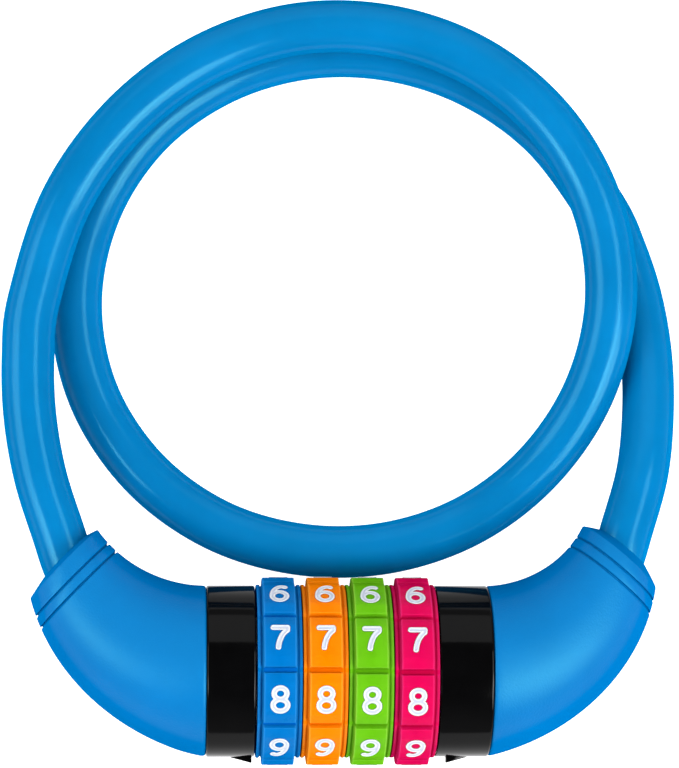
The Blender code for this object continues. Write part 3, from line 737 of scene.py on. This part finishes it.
def dial_stations():
    """Half of a dial's section as (x, base radius, share of block height, painted shade, painted
    highlight).
    """
    # The last two columns paint a highlight along the blocks' corners and sides and onto the lips' tops,
    # and paint shade onto the lips' outer edges.
    flange = (
        (2.62, 1.0, 0.0, 0.1), (2.82, 1.0, 0.0, 0.6), (2.90, 0.98, 0.0, 1.0), (2.95, 0.92, 0.0, 0.8),
        (2.98, 0.78, 0.0, 0.6), (3.01, 0.50, 0.0, 0.5), (3.06, 0.20, 0.0, 0.4), (3.14, 0.04, 0.0, 0.3),
        (3.24, 0.0, 0.0, 0.2),
    )
    stations = [(x * MM, CHANNEL_RADIUS, share, painted_shade_share, edge) for x, share, painted_shade_share, edge in flange]
    lip = ((3.36, 0.12, 0.0), (3.46, 0.50, 0.0), (3.56, 0.88, 0.0), (3.66, 1.0, 0.0),
           (3.90, 1.0, 0.0), (4.01, 0.93, 0.0), (4.07, 0.72, 0.1), (4.11, 0.35, 0.5))
    stations += [(x * MM, CHANNEL_RADIUS + rise * (RING_RADIUS - CHANNEL_RADIUS), 0.0, painted_shade_share, 0.4 * rise)
                 for x, rise, painted_shade_share in lip]
    return stations


def dial_angles():
    """The angles of a dial's lengthwise lines, close together at the blocks' edges."""
    offsets = [0.0, 5.0, 9.2, 9.8, 12.0, 14.0, 15.6, 15.9, 16.1, 16.3, 16.5, 16.7, 16.9]
    offsets = [-offset for offset in offsets[:0:-1]] + offsets + [SECTOR / 2]
    return [SECTOR * i + offset for i in range(DIGITS) for offset in offsets]


def make_dial(number, plastic):
    """A dial with ten soft-edged digit blocks between two lipped flanges."""
    middle = DIAL_MIDDLES[number - 1].x - AXIS.x
    half = dial_stations()
    stations = [(-x, *rest) for x, *rest in reversed(half)] + [(0.0, CHANNEL_RADIUS, 1.0, 0.0, 0.0)] + half
    angles = dial_angles()
    bm = bmesh.new()
    # painted shade and painted highlight: shares of the darker and lighter colours that the dial's material
    # mixes in
    painted_shade_layer = bm.verts.layers.float.new("painted_shade_share")
    light = bm.verts.layers.float.new("edge")
    loops = []
    for x, base, share, painted_shade_share, edge in stations:
        loop = []
        for angle in angles:
            offset = sector_offset(angle)
            radius = base + (block_radius(offset) - base) * share
            vert = bm.verts.new(around(middle + x, radius, angle + DIAL_PLAY[number - 1]))
            valley = smooth_step(2.0 * (offset - SLOPE_EDGE) / (VALLEY_EDGE - SLOPE_EDGE) - 1.0)
            on_edge = abs(offset - SLOPE_EDGE) < 0.1
            # painted shade in the valleys, and a painted highlight where each face drops into a valley
            vert[painted_shade_layer] = max(painted_shade_share, VALLEY_PAINTED_SHADE * valley * share)
            vert[light] = max(edge, EDGE_PAINTED_HIGHLIGHT * on_edge * share) * (1.0 - valley)
            loop.append(vert)
        loops.append(loop)
    for side, radii in ((1, (DIAL_SIDE_RADIUS, DIAL_BORE)), (-1, (DIAL_BORE, DIAL_SIDE_RADIUS))):
        for radius in radii:
            loop = [bm.verts.new(around(middle + side * DIAL_WIDTH / 2, radius, angle)) for angle in angles]
            # painted shade over the whole of each side of the dial
            for vert in loop:
                vert[painted_shade_layer] = 1.0
            loops.append(loop)
    for low, high in zip(loops, loops[1:]):
        bridge(bm, low, high)
    bridge(bm, loops[-1], loops[0])
    add_piece(f"dial_{number}_shell", bm, [plastic], f"dial_body_{number}", (f"dial_{number}",))


# ---------------------------------------------------------------- digits

def arc(x, y, across, up, start, end, steps=16):
    """Points along an elliptical arc, in mm and degrees."""
    turns = [math.radians(start + (end - start) * i / steps) for i in range(steps + 1)]
    return [(x + across * math.cos(a), y + up * math.sin(a)) for a in turns]


def digit_strokes():
    """Middle lines of the ten digits in mm, from the digit's middle."""
    six = [arc(0.0, -0.87, 1.32, 1.33, 0, 360, 32), arc(0.48, -0.87, 1.8, 3.05, 180, 70)]
    return [
        [arc(0.0, 0.87, 1.33, 1.33, 0, 180) + arc(0.0, -0.87, 1.33, 1.33, 180, 360) + [(1.33, 0.87)]],
        [[(-0.8, 1.5), (0.15, 2.2), (0.15, -2.2)]],
        [arc(0.0, 0.95, 1.3, 1.25, 165, -38) + [(-1.3, -2.2), (1.35, -2.2)]],
        [arc(0.0, 1.08, 1.2, 1.12, 150, -90) + arc(0.0, -1.1, 1.35, 1.1, 90, -150)],
        [[(0.6, -2.2), (0.6, 2.2), (-1.4, -0.95), (1.4, -0.95)]],
        [[(1.15, 2.2), (-0.95, 2.2), (-1.12, 0.3)] + arc(-0.02, -0.78, 1.36, 1.42, 128, -145)],
        six,
        [[(-1.3, 2.48), (1.3, 2.48)] + arc(2.3, -2.2, 2.75, 4.5, 112, 169, 10)],
        [arc(0.0, 1.13, 1.16, 1.08, 0, 360, 28), arc(0.0, -1.08, 1.34, 1.13, 0, 360, 32)],
        [[(-x, -y) for x, y in stroke] for stroke in six],
    ]


# Rings of a digit's relief: distance from the stroke's middle in mm, height above the face in mm
DIGIT_RELIEF = ((0.19, 0.06), (0.25, 0.14), (0.43, 0.14), (0.495, 0.05), (0.63, -0.03))
WHITE, CHANNEL_SHADE, PAINTED_SHADOW_TONE = range(3)   # a numeral's materials: white, the groove's painted shade, and the painted shadow round the numeral
# the innermost ring is painted darker as shade in the stroke's groove; the outermost, dipping below the
# face, is painted dark as a shadow round the numeral
RELIEF_TONES = (CHANNEL_SHADE, WHITE, WHITE, WHITE, PAINTED_SHADOW_TONE)   # inside each of those rings
DIGIT_FIELD = (2.2, 3.1)      # half of the width and height in which a digit is drawn, in mm
DIGIT_GRID = 0.12
DIGIT_ROOT = 0.12 * MM        # depth of a numeral's back under the block's face


def stroke_distance(strokes, points):
    """Distance of each point to the nearest stroke."""
    nearest = np.full(len(points), 1e9)
    for stroke in strokes:
        for a, b in zip(np.array(stroke), np.array(stroke[1:])):
            along = b - a
            length = max(float(along @ along), 1e-12)
            t = np.clip((points - a) @ along / length, 0.0, 1.0)
            nearest = np.minimum(nearest, np.linalg.norm(points - (a + t[:, None] * along), axis=1))
    return nearest


def level_lines(field, xs, ys, level, points, edges):
    """Adds the contour of a grid of distances at one level to a list of points and edges."""
    known = {}

    def crossing(a, b):
        a, b = min(a, b), max(a, b)
        if (a, b) not in known:
            t = (level - field[a]) / (field[b] - field[a])
            known[a, b] = len(points)
            points.append((xs[a[0]] + (xs[b[0]] - xs[a[0]]) * t, ys[a[1]] + (ys[b[1]] - ys[a[1]]) * t))
        return known[a, b]

    for i in range(len(xs) - 1):
        for j in range(len(ys) - 1):
            corners = ((i, j), (i + 1, j), (i + 1, j + 1), (i, j + 1))
            inside = [field[corner] < level for corner in corners]
            found = [crossing(corners[k], corners[(k + 1) % 4]) for k in range(4)
                     if inside[k] != inside[(k + 1) % 4]]
            edges.extend(zip(found[::2], found[1::2]))


def digit_relief(strokes):
    """Flat points, heights, faces and material numbers of one digit's relief."""
    xs, ys = (np.arange(-half, half + DIGIT_GRID, DIGIT_GRID) for half in DIGIT_FIELD)
    grid = np.array([(x, y) for x in xs for y in ys])
    field = stroke_distance(strokes, grid).reshape(len(xs), len(ys))
    levels = [level for level, _ in DIGIT_RELIEF]
    points = []
    edges = []
    for level in levels:
        level_lines(field, xs, ys, level, points, edges)
    flat, _, faces, *_ = delaunay_2d_cdt([Vector(p) for p in points], edges, [], 0, 1e-5)
    distances = stroke_distance(strokes, np.array(flat))
    heights = np.interp(distances, levels, [height for _, height in DIGIT_RELIEF])
    middles = np.array([np.mean([flat[i] for i in face], axis=0) for face in faces])
    rings = np.searchsorted(levels, stroke_distance(strokes, middles), side="right")
    kept = [(face, RELIEF_TONES[ring]) for face, ring in zip(faces, rings) if ring < len(levels)]
    return flat, heights, kept


def make_digits(number, reliefs, materials):
    """The ten raised numerals of a dial, as closed shells; the index angle, -Y, shows 0 at rest."""
    middle = DIAL_MIDDLES[number - 1].x - AXIS.x
    bm = bmesh.new()
    for digit, (flat, heights, faces) in enumerate(reliefs):
        bearing = 180.0 + SECTOR * digit + DIAL_PLAY[number - 1]
        fronts = []
        backs = []
        for (x, y), height in zip(flat, heights):
            lean = math.degrees(math.atan2(y * MM, BLOCK_RADIUS))
            face_radius = block_radius(abs(lean))
            fronts.append(bm.verts.new(around(middle + x * MM, face_radius + height * MM, bearing - lean)))
            backs.append(bm.verts.new(around(middle + x * MM, face_radius - DIGIT_ROOT, bearing - lean)))
        uses = Counter()
        for face, kind in faces:
            bm.faces.new([fronts[i] for i in face]).material_index = kind
            # the numerals' backs and sides take the painted-shadow material too
            bm.faces.new([backs[i] for i in reversed(face)]).material_index = PAINTED_SHADOW_TONE
            uses.update((min(pair), max(pair)) for pair in zip(face, [*face[1:], face[0]]))
        for a, b in (pair for pair, count in uses.items() if count == 1):
            bm.faces.new((fronts[a], fronts[b], backs[b], backs[a])).material_index = PAINTED_SHADOW_TONE
        for vert in fronts + backs:
            if not vert.link_faces:
                bm.verts.remove(vert)
    add_piece(f"dial_{number}_digits", bm, materials, f"dial_body_{number}", (),
              sharp=60.0)


# ---------------------------------------------------------------- the lock

DIAL_SLOTS = ("dial_blue", "dial_orange", "dial_green", "dial_pink")
# Colours of the faces, of the painted shade in the recesses and of the painted highlight on the blocks'
# edges
DIAL_COLOURS = (
    ((0.0, 0.079, 0.250), (0.0, 0.050, 0.28), (0.01, 0.125, 0.34)),
    ((0.480, 0.107, 0.0), (0.30, 0.034, 0.0), (0.54, 0.176, 0.015)),
    ((0.062, 0.232, 0.003), (0.032, 0.112, 0.001), (0.124, 0.300, 0.024)),
    ((0.325, 0.001, 0.040), (0.20, 0.001, 0.013), (0.38, 0.012, 0.080)),
)

make_camera()
make_cable()

boot_vinyl = make_material("boot_vinyl_satin", (0.0, 0.087, 0.256), roughness=0.39, mottle=(45.0, 0.06),
                           grain=(2600.0, 0.55), specular=0.30, tint=(0.20, 1.0, 0.90), soft=0.1,
                           rim=0.0)
make_boot("left_boot_shell", -1, "barrel", boot_vinyl)
make_boot("right_boot_shell", 1, "plug", boot_vinyl)

collar_plastic = make_material("collar_black_gloss", (0.0006, 0.0006, 0.0007), roughness=0.1,
                               mottle=(200.0, 0.2), grain=(4000.0, 0.03), specular=0.15, rim=0.03)
make_collar("left_collar", -1, STACK_HALF + GAP / 2, CORE_RADIUS + GAP, "barrel", collar_plastic)
make_collar("right_collar", 1, STACK_HALF + GAP / 2 + PLATE_WIDTH + GAP, PIN_RADIUS + GAP, "plug",
            collar_plastic, skirt=PLATE_WIDTH + GAP)
make_end_plate(collar_plastic)

digit_white = make_material("digit_white", (0.36, 0.385, 0.405), roughness=0.35, mottle=(900.0, 0.04),
                            grain=(5000.0, 0.08), soft=0.1)
# a darker lilac that paints shade into the groove down each stroke
digit_groove_shade = make_material("digit_channel_painted_shade", (0.275, 0.295, 0.37), roughness=0.4, mottle=(900.0, 0.05),
                            grain=(5000.0, 0.1))
digit_shapes = [digit_relief(strokes) for strokes in digit_strokes()]
for index, (face_colour, painted_shade_colour, painted_highlight_colour) in enumerate(DIAL_COLOURS):
    slot_name = DIAL_SLOTS[index]
    # the zones paint shade into the recesses and a highlight along the blocks' edges
    dial_plastic = make_material(f"{slot_name}_plastic", face_colour, roughness=0.28, mottle=(300.0, 0.05),
                                 grain=(2500.0, 0.08), specular=0.3, tint=shade(face_colour, 1.2),
                                 soft=0.12, zones=(("edge", painted_highlight_colour), ("painted_shade_share", painted_shade_colour)),
                                 rim=0.0)
    # a darker copy of the painted-shade colour, painted round each numeral as its shadow
    painted_shadow_material = make_material(f"{slot_name}_digit_painted_shadow", shade(painted_shade_colour, 0.5), roughness=0.35,
                              mottle=(900.0, 0.1), grain=(5000.0, 0.08))
    make_dial(index + 1, dial_plastic)
    make_digits(index + 1, digit_shapes, [digit_white, digit_groove_shade, painted_shadow_material])

METALS = {
    "cast_zinc": make_material("cast_zinc_bare", (0.24, 0.24, 0.25), roughness=0.42, metallic=1.0,
                               mottle=(250.0, 0.12), grain=(1800.0, 0.25), worn=0.06),
    "code_metal": make_material("code_ring_brass", (0.30, 0.22, 0.095), roughness=0.30, metallic=1.0,
                                mottle=(400.0, 0.10), grain=(2600.0, 0.15), worn=0.05),
    "steel": make_material("crimped_steel", (0.24, 0.24, 0.245), roughness=0.33, metallic=1.0,
                           mottle=(350.0, 0.08), grain=(2200.0, 0.18), worn=0.05),
    "spring_steel": make_material("tempered_strip", (0.17, 0.17, 0.18), roughness=0.26, metallic=1.0,
                                  mottle=(500.0, 0.15), grain=(3000.0, 0.12), worn=0.04),
    "black_steel": make_material("blackened_steel", (0.02, 0.02, 0.022), roughness=0.38, metallic=1.0,
                                 mottle=(600.0, 0.2), grain=(3000.0, 0.2), worn=0.06),
}
for subpart in frame["record"]["subparts"]:
    if subpart["material_slot"] in METALS:
        node = frame["nodes"][subpart["node"]]
        node.data.materials.clear()
        node.data.materials.append(METALS[subpart["material_slot"]])

make_stage()
bpy.context.scene.view_settings.view_transform = "Standard"
